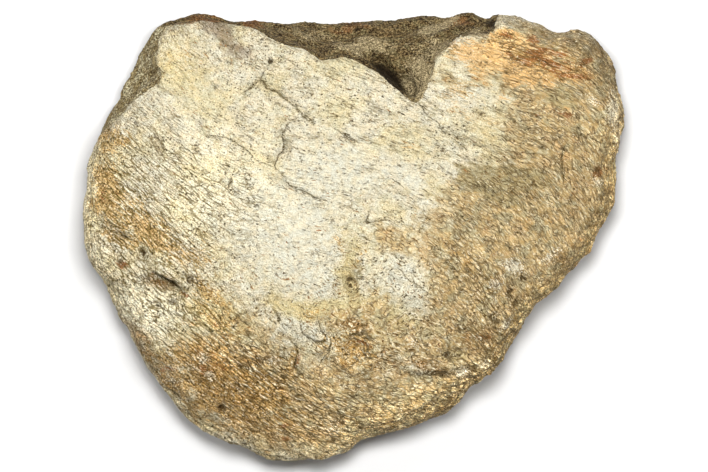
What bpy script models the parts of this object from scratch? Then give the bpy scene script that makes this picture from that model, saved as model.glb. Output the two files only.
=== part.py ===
# Fossil triceratops frill section: one thick slab of fossil bone, lying on its worn underside.
# The frame: +X along the slab, +Y towards its broken back edge, +Z up through its thickness.
# The origin is on the resting plane, under the middle of the slab's box.
# Lengths in the tables are millimetres; MM turns them into metres.

import math

import bmesh
import bpy
import numpy as np
from mathutils import Vector, noise

MM = 0.001

# Overall size of the slab, in millimetres.
LENGTH = 190.0
DEPTH = 158.0
HEIGHT = 42.0

# The cube that the slab is shaped from: cuts along its top edges and up its sides.
TOP_CUTS = 132
SIDE_CUTS = 18
SNAP_REACH = 0.75               # a little over half the grid's spacing, in millimetres

# The even surface that the relief is put on, and the reduced mesh made from it.
VOXEL = 1.0
VOXEL_SMOOTHING = 3
TARGET_TRIANGLES = 9600
FOLD_ANGLE = math.radians(100.0)
FOLD_PASSES = 6
FLAT_BELOW = 0.05               # points under this height lie on the resting plane

# Curve points drawn between two given points of the outline and of every other line.
OUTLINE_STEPS = 8
LINE_STEPS = 4

# The slab's middle, which every outline radius is measured from.
MIDDLE = (0.0, 8.0)

# Outline seen from above, clockwise from the back left corner.
OUTLINE = [
    (-69, 74.5), (-63.5, 76.5), (-54.5, 79), (-46.5, 76), (-38, 77), (-29.5, 75), (-12, 74.5),
    (6, 76), (13, 75.5), (21, 78), (34.5, 77), (41, 78.5), (47, 77.5), (52, 79), (61.5, 76),
    (71, 72), (78, 73), (85.5, 69.5), (91.5, 62), (93, 54), (95, 41), (92.5, 28), (93, 15),
    (88, 5.5), (82.5, -5.5), (72.5, -17), (64, -25), (58.5, -34), (51, -47), (40.5, -55.5),
    (31, -63), (22, -67.5), (13, -70), (2.5, -72), (-2, -75.5), (-10, -78.5), (-21, -79),
    (-32, -77.5), (-43, -74), (-52, -68.5), (-61, -61.5), (-69, -52), (-75.5, -42), (-81, -31),
    (-87.5, -18.5), (-94, -5), (-94.5, 10), (-93, 25), (-90.5, 34), (-84, 48), (-79, 58),
    (-75, 67), (-71.5, 73),
]

# Where the outer face ends and the broken back face begins, from left to right.
BACK_RIM = [
    (-70, 74), (-60, 74.5), (-52.5, 75.5), (-46.5, 75), (-41, 74), (-36, 73), (-32.5, 71.5),
    (-29, 69), (-22, 66.5), (-17.5, 65.5), (-14.5, 63.5), (-11, 61.5), (-7, 62), (-3, 62.5),
    (1.5, 61), (5, 59), (8.5, 57), (13, 53), (16.5, 50), (21.5, 46.5), (24, 49.5), (27, 54),
    (28, 58.5), (29, 62.5), (31, 64.5), (34.5, 67.5), (37.5, 70), (43.5, 70.5), (48, 71.5),
    (50.5, 75.5), (53, 84),
]

# Where the outer face ends and the broken left facet begins, from back to front.
LEFT_RIM = [
    (-66, 76), (-66.5, 73), (-68, 70), (-68.5, 66), (-69, 61.5), (-67, 56.5), (-69, 53), (-72.5, 51),
    (-77, 47.5), (-82, 42.5), (-90.5, 34.5), (-97, 28),
]

# Edge section: natural rounded edges, and the thin edges where the slab is broken off.
NATURAL_EDGE = {"widest_level": 14.0, "roll_in": 8.5}
BROKEN_EDGE = {"widest_level": 5.0, "roll_in": 4.0}
EDGE_SWING = [(3, 0.8, 0.16), (5, 2.1, 0.12), (11, 0.3, 0.10)]   # waves round, phase, share
EDGE_POWER = 2.3                # 2 is an ellipse, more is squarer
RIM_SHARE = 0.25                # share of the roll that the cube's sides make, not its top
BROKEN_ARC = (54.0, 163.0)      # degrees around the middle, anticlockwise from +X
BROKEN_ARC_BLEND = 7.0

# Broken faces: how far each falls and how sharply it leaves the outer face.
BACK_BREAK = {"side": 1, "foot": 7.5, "drop_share": 0.30, "drop_run": 2.2}
LEFT_BREAK = {"side": -1, "foot": 10.0, "drop_share": 0.40, "drop_run": 3.0}
ON_RIM = 0.01                   # closer to a rim than this counts as on it
LAYERS = [(26.0, 3.4, 1.7), (11.0, 1.8, 1.0)]      # run along the face, pitch and rise

# The outer face: a low dome with its top left of the middle.
DOME_TOP = (-14.0, 24.0)
DOME_HEIGHT = 41.0
DOME_FALL = (10.0, 11.5)        # fall at DOME_SPAN to the sides and to the front
DOME_SPAN = 95.0
FRONT_FOLD = {"start": (-92.0, -12.0), "end": (60.0, -50.0), "slope": 0.16, "blend": 10.0}

# Underside: nearly flat, rising to the edges, with the worn patches that it rests on.
UNDER_RISE = 4.5
UNDER_RISE_FROM = 0.5           # share of the radius where the rise starts
UNDER_DIP = 0.7
UNDER_REST = {"centre": (-2.0, 2.0), "radius": 24.0, "dip": 1.6}
UNDER_CHANNELS = [
    ([(-70, 40), (-48, 30), (-30, 34), (-8, 44), (10, 62)], 2.6, 1.6),
    ([(-48, 30), (-42, 10), (-50, -12), (-40, -36), (-30, -60)], 2.2, 1.4),
    ([(82, 30), (60, 22), (42, 28), (24, 42), (10, 62)], 2.4, 1.5),
    ([(60, 22), (50, 2), (38, -14), (34, -40)], 2.0, 1.3),
    ([(-42, 10), (-58, 4), (-78, 6)], 1.8, 1.1),
]

# Cracks and channels: a line of points, half width and depth.
CHANNEL_END = 0.35              # share of the width and depth that is left at the ends
CHANNELS = {
    "crevice": ([(-30, 62), (-32, 55.5), (-30, 53), (-25.5, 48.5), (-20.5, 44)], 2.0, 2.6),
    "crevice_left_branch": ([(-32, 55), (-34.5, 52.5), (-38, 50)], 1.5, 1.6),
    "crevice_right_branch": ([(-20.5, 44), (-16, 42), (-13.5, 39.5)], 1.4, 1.4),
    "gash": ([(-20, 42), (-22.5, 39), (-26, 34), (-25.5, 27), (-27, 23), (-24, 21.5)], 1.8, 2.6),
    "left_line": ([(-45.5, 34), (-38, 29.5), (-34.5, 27), (-29.5, 25.5)], 1.5, 1.4),
    "notch_seam": ([(21.5, 47), (24, 43.5), (31, 39), (32, 36), (38.5, 29.5)], 1.8, 1.8),
    "smooth_strip_slot": ([(14, 19), (18, 15.5), (22.5, 13)], 1.4, 1.4),
    "ledge_trough": ([(-76, -16), (-66, -18), (-61, -22)], 3.2, 2.6),
    "left_slot": ([(-85.5, 0), (-77.5, -2.5)], 1.6, 1.5),
    "middle_slot": ([(-40.5, -27.5), (-35.5, -31)], 1.5, 1.3),
    "lobe_ring": ([(-19, -28), (-14.5, -27.5), (-10.5, -31.5), (-9, -37), (-12, -40.5), (-16, -40)],
                  1.4, 1.4),
    "front_crack": ([(-23, -36.5), (-20, -42.5), (-18.5, -47)], 1.4, 1.5),
    "middle_trough": ([(-6.5, -3), (-3, -9), (-0.5, -19), (-8, -23), (-16, -22)], 4.0, 1.7),
    "island_edge": ([(4.5, 9), (4, 7), (6, 5.5), (13.5, 4.5), (16.5, 2.5)], 1.3, 1.1),
    "right_crease": ([(73, 30), (74, 24), (73.5, 17)], 2.2, 1.6),
    "stained_trough": ([(-52.5, 77), (-46.5, 71.5), (-40, 65.5)], 3.0, 2.2),
}

# Ledges: a line of points, the rise on its left side, the fall on its right, and the run of both.
LEDGE_WIDTH = 1.2
LEDGES = {
    "outer_scarp": ([(-32.5, 23), (-27, 18.5), (-20.5, 16), (-12, 13.5), (-8, 11)], 0.9, 0.9, 7.0),
    "left_ledge": ([(-71, -10), (-66, -15.5), (-63, -18), (-59, -22)], 1.7, 1.6, 5.0),
    "front_right_ledge": ([(14, -47), (25, -48.5), (32, -48), (43, -45)], 1.0, 1.0, 7.0),
    "right_margin_ledge": ([(84, 44), (83, 30), (85, 18), (79, 4), (66, -12)], 1.2, 1.2, 6.0),
    "notch_ledge": ([(31, 39), (44, 33), (57, 27)], 0.7, 0.8, 8.0),
}

# Pits: centre, radius and depth.
PITS = [
    (-30, 61.5, 2.2, 2.2), (-44, 17, 1.8, 1.3), (-46, -61.5, 2.0, 2.4), (-75, -5, 2.0, 1.6),
    (-81, -10, 2.2, 1.5), (-57, -15.5, 2.2, 1.6), (-1.5, -16.5, 1.8, 2.0), (60, -14, 1.8, 1.5),
    (54, -19.5, 1.8, 1.5), (57, -23.5, 1.8, 1.4), (33, -42, 1.8, 1.4), (49, 74, 2.6, 2.4),
    (-26, 29, 2.2, 1.6), (30, 31, 1.8, 1.2), (44, 43, 1.8, 1.1), (52, 12, 2.2, 1.2),
]

# Swellings and hollows: centre, half axes, turn in degrees and height.
SWELLS = [
    (-22, 6, 22, 13, -25, 0.9), (17, -17, 14, 8, -35, 1.1), (-55, 50, 16, 12, 20, 0.8),
    (45, 52, 20, 12, -20, 1.1), (72, 55, 16, 16, 0, 1.0), (60, 8, 18, 12, -30, -1.0),
    (-14, -33, 4.5, 5.5, 20, 1.1), (-22, -33, 3, 6, 30, 0.7), (-60, -42, 18, 10, -45, 0.9),
    (-38, -55, 14, 8, -20, -1.3), (10, -62, 22, 8, 8, 0.9), (-72, 24, 12, 14, 0, -0.9),
    (-6, 45, 14, 9, -30, 0.7), (2, 30, 10, 7, 0, -0.8), (56, -34, 10, 8, 0, 1.0),
]

# The knob near the front: a ring wall around a low centre.
KNOB = {"centre": (0.5, -40.5), "radius": 6.2, "wall": 2.0, "rise": 1.3, "dip": 0.9,
        "bowl_share": 0.6}

# The deep hollow in the broken face, under the lobe of the outer face.
HOLLOW = {"start": (8.5, 60.0), "end": (19.0, 50.5), "half_width": 4.2, "depth": 13.0, "floor": 6.0}

# Long smooth waves and knobbly lumps of the whole surface: wavelength and height.
WAVES = [(34.0, 1.0), (15.0, 0.8), (7.5, 0.45)]
EDGE_LUMPS = [(13.0, 1.3), (6.0, 0.7)]
EDGE_LUMP_REACH = (4.0, 22.0)   # full strength and none, in from the outline
BROKEN_LUMPS = 0.7              # their strength on the broken faces

# How far a surface faces up or down (its normal's Z) for each relief to start and be full.
OUTER_FACING = (0.0, 0.5)
UNDER_FACING = (0.3, 0.8)
BROKEN_FACING = (-0.6, -0.1)

# How far drawn lines waver to and fro: shift, then the lengths of its two waves.
WAVER = [(0.9, 2.7, 3.1), (0.5, 1.9, 4.1)]
SEED_SHIFT = Vector((3.7, 11.3, 5.9))

BONE_COLOUR = (0.72, 0.64, 0.46, 1.0)
BONE_ROUGHNESS = 0.85


def clear_scene():
    for item in list(bpy.data.objects):
        bpy.data.objects.remove(item, do_unlink=True)


def smooth_step(low, high, value):
    share = np.clip((value - low) / (high - low), 0.0, 1.0)
    return share * share * (3.0 - 2.0 * share)


def smooth_line(points, steps, closed=False):
    # A Catmull-Rom curve through the points, as a dense row of points.
    points = np.array(points, dtype=float)
    count = len(points)
    spans = count if closed else count - 1
    row = []
    for span in range(spans):
        if closed:
            before, start, end, after = (points[(span + k) % count] for k in (-1, 0, 1, 2))
        else:
            before, start = points[max(span - 1, 0)], points[span]
            end, after = points[span + 1], points[min(span + 2, count - 1)]
        for step in range(steps):
            t = step / steps
            row.append(0.5 * (2 * start + (end - before) * t
                              + (2 * before - 5 * start + 4 * end - after) * t ** 2
                              + (3 * start - before - 3 * end + after) * t ** 3))
    if not closed:
        row.append(points[-1])
    return np.array(row)


def polar(x, y):
    dx = x - MIDDLE[0]
    dy = y - MIDDLE[1]
    return np.arctan2(dy, dx), np.hypot(dx, dy)


def outline_radius(angle):
    line = smooth_line(OUTLINE, OUTLINE_STEPS, closed=True)
    angles, radii = polar(line[:, 0], line[:, 1])
    order = np.argsort(angles)
    return np.interp(angle, angles[order], radii[order], period=2.0 * math.pi)


def nearest_on_line(x, y, line):
    # The nearest places on a row of points, the offset from it (plus on the left of its
    # direction) and the share of the row's length there.
    gap = np.full(x.shape, np.inf)
    near_x, near_y, offset, along = (np.zeros(x.shape) for _ in range(4))
    spans = len(line) - 1
    for span in range(spans):
        start = line[span]
        run = line[span + 1] - start
        length = math.hypot(run[0], run[1])
        if length == 0.0:
            continue
        step_x = (x - start[0]) / length
        step_y = (y - start[1]) / length
        share = np.clip((step_x * run[0] + step_y * run[1]) / length, 0.0, 1.0)
        place_x = start[0] + share * run[0]
        place_y = start[1] + share * run[1]
        here = np.hypot(x - place_x, y - place_y)
        nearer = here < gap
        gap = np.where(nearer, here, gap)
        near_x = np.where(nearer, place_x, near_x)
        near_y = np.where(nearer, place_y, near_y)
        offset = np.where(nearer, run[0] * step_y - run[1] * step_x, offset)
        along = np.where(nearer, (span + share) / spans, along)
    return near_x, near_y, offset, along


def line_distance(x, y, line):
    near_x, near_y, offset, along = nearest_on_line(x, y, line)
    return np.hypot(x - near_x, y - near_y), offset, along


def snap_to_rims(x, y, movable):
    # Points next to a broken rim move onto it, so that the rim is a clean edge.
    for rim in (BACK_RIM, LEFT_RIM):
        near_x, near_y, _, _ = nearest_on_line(x, y, smooth_line(rim, LINE_STEPS))
        close = movable & (np.hypot(x - near_x, y - near_y) < SNAP_REACH)
        x = np.where(close, near_x, x)
        y = np.where(close, near_y, y)
    return x, y


def broken_share(angle):
    degrees = np.degrees(angle)
    low, high = BROKEN_ARC
    rising = smooth_step(low - BROKEN_ARC_BLEND, low, degrees)
    falling = 1.0 - smooth_step(high, high + BROKEN_ARC_BLEND, degrees)
    return rising * falling


def edge_value(name, angle):
    share = broken_share(angle)
    swing = 1.0
    for waves, phase, rise in EDGE_SWING:
        swing = swing + rise * np.sin(waves * angle + phase)
    return (NATURAL_EDGE[name] * (1.0 - share) + BROKEN_EDGE[name] * share) * swing


def dome(x, y):
    height = (DOME_HEIGHT
              - DOME_FALL[0] * ((x - DOME_TOP[0]) / DOME_SPAN) ** 2
              - DOME_FALL[1] * ((y - DOME_TOP[1]) / DOME_SPAN) ** 2)
    start = np.array(FRONT_FOLD["start"])
    run = np.array(FRONT_FOLD["end"]) - start
    run = run / np.linalg.norm(run)
    below = run[1] * (x - start[0]) - run[0] * (y - start[1])
    blend = FRONT_FOLD["blend"]
    return height - FRONT_FOLD["slope"] * blend * np.log1p(np.exp(below / blend))


def add_channels(x, y, height, channels):
    # Each is deepest in its middle and runs out at both ends.
    for points, half_width, depth in channels:
        gap, _, along = line_distance(x, y, smooth_line(points, LINE_STEPS))
        taper = CHANNEL_END + (1.0 - CHANNEL_END) * np.sin(math.pi * along)
        height = height - depth * taper * np.exp(-(gap / (half_width * taper)) ** 2)
    return height


def add_ledges(x, y, height):
    for points, rise, fall, run in LEDGES.values():
        gap, offset, along = line_distance(x, y, smooth_line(points, LINE_STEPS))
        step = np.tanh(offset / LEDGE_WIDTH) * np.exp(-gap / run) * np.sin(math.pi * along) ** 0.5
        height = height + np.where(step > 0, rise * step, fall * step)
    return height


def add_pits(x, y, height):
    for pit_x, pit_y, radius, depth in PITS:
        height = height - depth * np.exp(-((x - pit_x) ** 2 + (y - pit_y) ** 2) / radius ** 2)
    return height


def add_swells(x, y, height):
    for centre_x, centre_y, half_long, half_wide, turn, rise in SWELLS:
        angle = math.radians(turn)
        along = ((x - centre_x) * math.cos(angle) + (y - centre_y) * math.sin(angle)) / half_long
        across = ((y - centre_y) * math.cos(angle) - (x - centre_x) * math.sin(angle)) / half_wide
        height = height + rise * np.exp(-(along ** 2 + across ** 2))
    return height


def add_knob(x, y, height):
    centre_x, centre_y = KNOB["centre"]
    radius = np.hypot(x - centre_x, y - centre_y)
    ring = np.exp(-((radius - KNOB["radius"]) / KNOB["wall"]) ** 2)
    bowl = np.exp(-(radius / (KNOB["bowl_share"] * KNOB["radius"])) ** 2)
    return height + KNOB["rise"] * ring - KNOB["dip"] * bowl


def beyond_rim(x, y, rim, side):
    # Distance from a broken rim, and whether a place lies on the broken side of it.
    gap, offset, _ = line_distance(x, y, smooth_line(rim, LINE_STEPS))
    return gap, offset * side > ON_RIM


def break_face(x, y, height, rim, spec, radius_left):
    # Slope from the rim of the outer face down to the foot of the broken face.
    gap, broken = beyond_rim(x, y, rim, spec["side"])
    share = gap / (gap + np.maximum(radius_left, ON_RIM))
    drop = spec["drop_share"] * smooth_step(0.0, spec["drop_run"], gap)
    fall = drop + (1.0 - drop) * share
    return np.where(broken, height * (1.0 - fall) + spec["foot"] * fall, height)


def broken_at(x, y):
    _, back = beyond_rim(x, y, BACK_RIM, BACK_BREAK["side"])
    _, left = beyond_rim(x, y, LEFT_RIM, LEFT_BREAK["side"])
    return (back | left).astype(float)


def add_hollow(x, y, height):
    line = np.array([HOLLOW["start"], HOLLOW["end"]], dtype=float)
    gap, _, _ = line_distance(x, y, line)
    _, broken = beyond_rim(x, y, BACK_RIM, BACK_BREAK["side"])
    dug = height - HOLLOW["depth"] * np.exp(-(gap / HOLLOW["half_width"]) ** 2)
    return np.where(broken, np.maximum(dug, HOLLOW["floor"]), height)


def wavered(x, y):
    # The same places shifted a little, so that drawn lines run unevenly, as in bone.
    shift_x = np.zeros(x.shape)
    shift_y = np.zeros(x.shape)
    for shift, length, cross_length in WAVER:
        shift_x = shift_x + shift * np.sin(y / length + np.sin(x / cross_length))
        shift_y = shift_y + shift * np.sin(x / cross_length + np.sin(y / length))
    return x + shift_x, y + shift_y


def upper_side(x, y, radius_left):
    # Height of the outer face and of the broken faces that cut it off.
    height = add_swells(x, y, dome(x, y))
    height = break_face(x, y, height, BACK_RIM, BACK_BREAK, radius_left)
    height = break_face(x, y, height, LEFT_RIM, LEFT_BREAK, radius_left)
    return add_hollow(x, y, height)


def outer_relief(x, y):
    # Ledges, knob, cracks and pits of the outer face, as heights to add.
    x, y = wavered(x, y)
    height = add_ledges(x, y, np.zeros(x.shape))
    height = add_knob(x, y, height)
    height = add_channels(x, y, height, CHANNELS.values())
    return add_pits(x, y, height)


def under_relief(x, y):
    x, y = wavered(x, y)
    return add_channels(x, y, np.zeros(x.shape), UNDER_CHANNELS)


def under_face(x, y, share):
    height = UNDER_RISE * smooth_step(UNDER_RISE_FROM, 1.0, share) - UNDER_DIP
    rest_x, rest_y = UNDER_REST["centre"]
    from_rest = np.hypot(x - rest_x, y - rest_y) / UNDER_REST["radius"]
    return height - UNDER_REST["dip"] * np.exp(-from_rest ** 4)


def roll(share):
    # Height share of a rounded edge, from its widest level up to the face.
    inward = 1.0 - np.clip(share, 0.0, 1.0)
    return (1.0 - inward ** EDGE_POWER) ** (1.0 / EDGE_POWER)


def disc_polar(u, v):
    # A square grid onto a disc with equal areas: its angle and its radius share.
    reach = np.maximum(np.abs(u), np.abs(v))
    wide = np.abs(u) >= np.abs(v)
    safe_u = np.where(u == 0, 1.0, u)
    safe_v = np.where(v == 0, 1.0, v)
    turn = np.where(wide, v / safe_u, 2.0 - u / safe_v) * math.pi / 4.0
    flipped = np.where(wide, u < 0, v < 0)
    return turn + np.where(flipped, math.pi, 0.0), reach


def shape_points(cube):
    # Every point of the cube goes to its place on the slab.
    u, v, w = cube[:, 0], cube[:, 1], cube[:, 2]
    angle, reach = disc_polar(u, v)
    angle = np.arctan2(np.sin(angle), np.cos(angle))
    edge_radius = outline_radius(angle)
    roll_in = edge_value("roll_in", angle)
    level = edge_value("widest_level", angle)
    on_side = np.abs(w) < 0.9999
    side_radius = edge_radius - roll_in * RIM_SHARE * np.abs(w) ** EDGE_POWER
    face_radius = (edge_radius - roll_in * RIM_SHARE) * reach
    radius = np.where(on_side, side_radius, face_radius)
    x = MIDDLE[0] + radius * np.cos(angle)
    y = MIDDLE[1] + radius * np.sin(angle)
    x, y = snap_to_rims(x, y, (w > 0) & ~on_side & (reach < 0.99))
    angle, radius = polar(x, y)
    left = outline_radius(angle) - radius
    top = upper_side(x, y, left)
    bottom = under_face(x, y, radius / edge_radius)
    height_share = roll(left / roll_in)
    z = np.where(w > 0, level + (top - level) * height_share, level - (level - bottom) * height_share)
    return np.stack([x, y, z], axis=1)


def lump_height(point, bands):
    place = Vector(point) + SEED_SHIFT
    return sum(rise * noise.noise(place / pitch) for pitch, rise in bands)


def layer_height(point):
    # Uneven ledges that follow the bone's layers along a broken face.
    x, y, z = point
    height = 0.0
    for run, pitch, rise in LAYERS:
        height += rise * noise.noise(Vector((x / run, y / run, z / pitch)) + SEED_SHIFT)
    return height


def read_points(mesh):
    points = np.zeros(len(mesh.vertices) * 3)
    mesh.vertices.foreach_get("co", points)
    return points.reshape(-1, 3)


def write_points(mesh, points):
    mesh.vertices.foreach_set("co", points.ravel())
    mesh.update()


def add_details(mesh, points):
    # Everything finer than the main form, raised or sunk along the surface normals.
    normals = np.zeros(len(points) * 3)
    mesh.vertex_normals.foreach_get("vector", normals)
    normals = normals.reshape(-1, 3)
    x, y = points[:, 0], points[:, 1]
    angle, radius = polar(x, y)
    near_edge = 1.0 - smooth_step(*EDGE_LUMP_REACH, outline_radius(angle) - radius)
    upward = smooth_step(*OUTER_FACING, normals[:, 2])
    downward = smooth_step(*UNDER_FACING, -normals[:, 2])
    broken = broken_at(x, y) * smooth_step(*BROKEN_FACING, normals[:, 2])
    waves = np.array([lump_height(point, WAVES) for point in points])
    lumps = np.array([lump_height(point, EDGE_LUMPS) for point in points])
    rise = waves + lumps * np.maximum(near_edge, BROKEN_LUMPS * broken)
    rise = rise + np.array([layer_height(point) for point in points]) * broken
    rise = rise + outer_relief(x, y) * upward * (1.0 - broken)
    rise = rise + under_relief(x, y) * downward
    return points + normals * rise[:, None]


def fit_to_size(points):
    # The worn patch is flat, and the slab's box is centred over the origin.
    points[:, 2] = np.maximum(points[:, 2], 0.0)
    low = points.min(axis=0)
    high = points.max(axis=0)
    scale = np.array([LENGTH, DEPTH, HEIGHT]) / (high - low)
    centre = np.array([(low[0] + high[0]) / 2.0, (low[1] + high[1]) / 2.0, low[2]])
    return (points - centre) * scale


def cube_mesh(name):
    # A cube cut into a fine grid on its top and bottom and into rows around its sides.
    bm = bmesh.new()
    bmesh.ops.create_cube(bm, size=2.0)
    upright = [edge for edge in bm.edges if abs(edge.verts[0].co.z - edge.verts[1].co.z) > 1.0]
    bmesh.ops.subdivide_edges(bm, edges=upright, cuts=SIDE_CUTS, use_grid_fill=True)
    level = [edge for edge in bm.edges if abs(edge.verts[0].co.z - edge.verts[1].co.z) < 0.001]
    bmesh.ops.subdivide_edges(bm, edges=level, cuts=TOP_CUTS, use_grid_fill=True)
    mesh = bpy.data.meshes.new(name)
    bm.to_mesh(mesh)
    bm.free()
    return mesh


def bone_material():
    material = bpy.data.materials.new("fossil_bone")
    material.use_nodes = True
    shader = material.node_tree.nodes["Principled BSDF"]
    shader.inputs["Base Color"].default_value = BONE_COLOUR
    shader.inputs["Roughness"].default_value = BONE_ROUGHNESS
    shader.inputs["Metallic"].default_value = 0.0
    return material


def evaluated_mesh(slab):
    # The mesh that the object's modifiers make, with the modifiers taken off.
    depsgraph = bpy.context.evaluated_depsgraph_get()
    mesh = bpy.data.meshes.new_from_object(slab.evaluated_get(depsgraph))
    slab.modifiers.clear()
    slab.data = mesh
    return mesh


def even_surface(slab):
    # The same form with points evenly spaced all over it, the steep faces too.
    grid = slab.modifiers.new("even_surface", "REMESH")
    grid.mode = "VOXEL"
    grid.voxel_size = VOXEL * MM
    soft = slab.modifiers.new("soft_steps", "SMOOTH")
    soft.iterations = VOXEL_SMOOTHING
    return evaluated_mesh(slab)


def open_folds(mesh):
    # Where two triangles lie folded on each other, their corners move apart.
    bm = bmesh.new()
    bm.from_mesh(mesh)
    for _ in range(FOLD_PASSES):
        folded = [edge for edge in bm.edges if edge.calc_face_angle(0.0) > FOLD_ANGLE]
        corners = {vert for edge in folded for face in edge.link_faces for vert in face.verts}
        bmesh.ops.smooth_vert(bm, verts=list(corners), factor=0.5, use_axis_x=True,
                              use_axis_y=True, use_axis_z=True)
        bm.normal_update()
    bm.to_mesh(mesh)
    bm.free()


def reduce_triangles(slab):
    # Fewer triangles where the surface is plain, then the worn patch is made exactly flat.
    triangles = sum(len(face.vertices) - 2 for face in slab.data.polygons)
    thin = slab.modifiers.new("fewer_triangles", "DECIMATE")
    thin.ratio = TARGET_TRIANGLES / triangles
    mesh = evaluated_mesh(slab)
    open_folds(mesh)
    points = read_points(mesh)
    points[:, 2] = np.where(points[:, 2] < FLAT_BELOW * MM, 0.0, points[:, 2])
    write_points(mesh, points)


def build_frill_section(collection):
    mesh = cube_mesh("frill_section")
    write_points(mesh, shape_points(read_points(mesh)) * MM)
    slab = bpy.data.objects.new("frill_section", mesh)
    collection.objects.link(slab)
    mesh = even_surface(slab)
    points = add_details(mesh, read_points(mesh) / MM)
    write_points(mesh, fit_to_size(points) * MM)
    reduce_triangles(slab)
    slab.data.materials.clear()
    slab.data.materials.append(bone_material())
    slab.data.shade_smooth()
    return slab


def main():
    clear_scene()
    collection = bpy.data.collections.new("fossil_frill_section")
    bpy.context.scene.collection.children.link(collection)
    build_frill_section(collection)


main()
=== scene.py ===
import math

import bmesh
import bpy
import numpy as np
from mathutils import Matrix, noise


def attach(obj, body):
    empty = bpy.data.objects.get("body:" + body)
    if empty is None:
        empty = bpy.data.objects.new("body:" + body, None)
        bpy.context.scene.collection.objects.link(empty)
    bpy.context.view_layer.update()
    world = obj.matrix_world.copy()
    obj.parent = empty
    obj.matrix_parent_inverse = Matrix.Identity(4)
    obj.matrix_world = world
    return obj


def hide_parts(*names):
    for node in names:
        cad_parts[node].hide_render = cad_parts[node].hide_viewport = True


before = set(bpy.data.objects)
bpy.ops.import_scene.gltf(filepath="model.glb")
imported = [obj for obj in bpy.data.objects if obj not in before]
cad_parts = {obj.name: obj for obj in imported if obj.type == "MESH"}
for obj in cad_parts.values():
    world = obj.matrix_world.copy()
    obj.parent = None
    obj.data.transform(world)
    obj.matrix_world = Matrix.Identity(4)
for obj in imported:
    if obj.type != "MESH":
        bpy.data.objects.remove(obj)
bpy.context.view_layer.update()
print("frame loaded")

mm = 0.001      # every length below is in millimetres, unless its note says otherwise


def softStep(low, high, value):
    share = np.clip((value - low) / (high - low), 0, 1)
    return share * share * (3 - 2 * share)


def smoothLine(points, steps=4):
    # Catmull-Rom curve through the points
    points = np.array(points, dtype=float)
    last = len(points) - 1
    row = []
    for span in range(last):
        before = points[max(span - 1, 0)]
        start = points[span]
        end = points[span + 1]
        after = points[min(span + 2, last)]
        for step in range(steps):
            t = step / steps
            row.append(0.5 * (2 * start + (end - before) * t
                              + (2 * before - 5 * start + 4 * end - after) * t ** 2
                              + (3 * start - before - 3 * end + after) * t ** 3))
    row.append(points[-1])
    return np.array(row)


def lineDistance(x, y, points):
    # distance to the line, offset from it (plus on its left) and share of its length there
    line = smoothLine(points)
    gap = np.full(x.shape, np.inf)
    offset = np.zeros(x.shape)
    along = np.zeros(x.shape)
    spans = len(line) - 1
    for span in range(spans):
        start = line[span]
        run = line[span + 1] - start
        length = max(math.hypot(run[0], run[1]), 1e-6)
        stepX = (x - start[0]) / length
        stepY = (y - start[1]) / length
        share = np.clip((stepX * run[0] + stepY * run[1]) / length, 0, 1)
        here = np.hypot(x - start[0] - share * run[0], y - start[1] - share * run[1])
        nearer = here < gap
        gap = np.where(nearer, here, gap)
        offset = np.where(nearer, run[0] * stepY - run[1] * stepX, offset)
        along = np.where(nearer, (span + share) / spans, along)
    return gap, offset, along


def noiseAt(places, pitch, seed):
    # smooth noise, about -1 to 1, with bumps as long as pitch along each axis
    moved = places / np.array(pitch) + seed * 7.31
    return np.array([noise.noise(place) for place in moved.tolist()])


def cellsAt(places, pitch, seed):
    # distance to the nearest of many scattered points, and a random share for each point
    moved = places / np.array(pitch) + seed * 5.17
    distance = []
    share = []
    for place in moved.tolist():
        distances, centres = noise.voronoi(place)
        distance.append(distances[0])
        share.append(noise.cell(centres[0]))
    return np.array(distance), np.array(share)


# Bone fibres: which way they run on the outer face

boneFibres = {
    # place, and direction in degrees anticlockwise from +X
    "guides": [
        (-65, 60, -42), (-52, 68, -36), (-80, 40, -38), (-60, 35, -38), (-40, 55, -30), (-36, 30, -34),
        (-20, 60, -30), (-5, 52, -12), (8, 50, -30), (16, 44, -26), (-8, 36, -12), (-4, 24, 0),
        (8, 24, -14), (20, 30, -20), (-85, 10, -46), (-72, 5, -46), (-60, -5, -48), (-78, -18, -34),
        (-45, 5, -32), (-50, -12, -42), (-30, 12, -16), (-20, 0, -6), (-10, -8, -46), (-26, -14, -46),
        (10, 2, -30), (14, -14, -44), (30, 16, -48), (34, 2, -38), (50, 8, -32), (64, 2, -48),
        (48, -12, -54), (30, -22, -60), (48, 60, -20), (62, 64, -12), (74, 58, -26), (86, 50, -50),
        (60, 44, -17), (40, 44, -26), (76, 30, -40), (90, 25, -68), (86, 8, -60), (72, -8, -56),
        (22, -34, -42), (40, -34, -60), (52, -32, -66), (30, -48, -18), (6, -54, 2), (16, -60, 3),
        (-4, -62, -6), (28, -58, 14), (-18, -46, -38), (-14, -60, -22), (-30, -44, -30), (-44, -44, -14),
        (-40, -58, -28), (-28, -66, -40), (-52, -34, -28), (-62, -44, -38), (-70, -34, -50),
        (-46, -68, -40), (-16, -72, -24), (-5, -22, -50), (-14, -28, -20),
    ],
    "reach": 11.0,          # how far one guide rules
    "power": 9,             # of the polynomials that follow the guides
    "spacingWeight": 0.3,   # how much even spacing counts beside the direction
    "gridStep": 6.0,
    "gridReach": (96.0, 80.0),
}


def fibreDirection(x, y):
    cosine = np.zeros(x.shape)
    sine = np.zeros(x.shape)
    for guideX, guideY, degrees in boneFibres["guides"]:
        turn = 2.0 * math.radians(degrees)
        weight = ((x - guideX) ** 2 + (y - guideY) ** 2 + boneFibres["reach"] ** 2) ** -2.0
        cosine += weight * math.cos(turn)
        sine += weight * math.sin(turn)
    return 0.5 * np.arctan2(sine, cosine)


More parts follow.
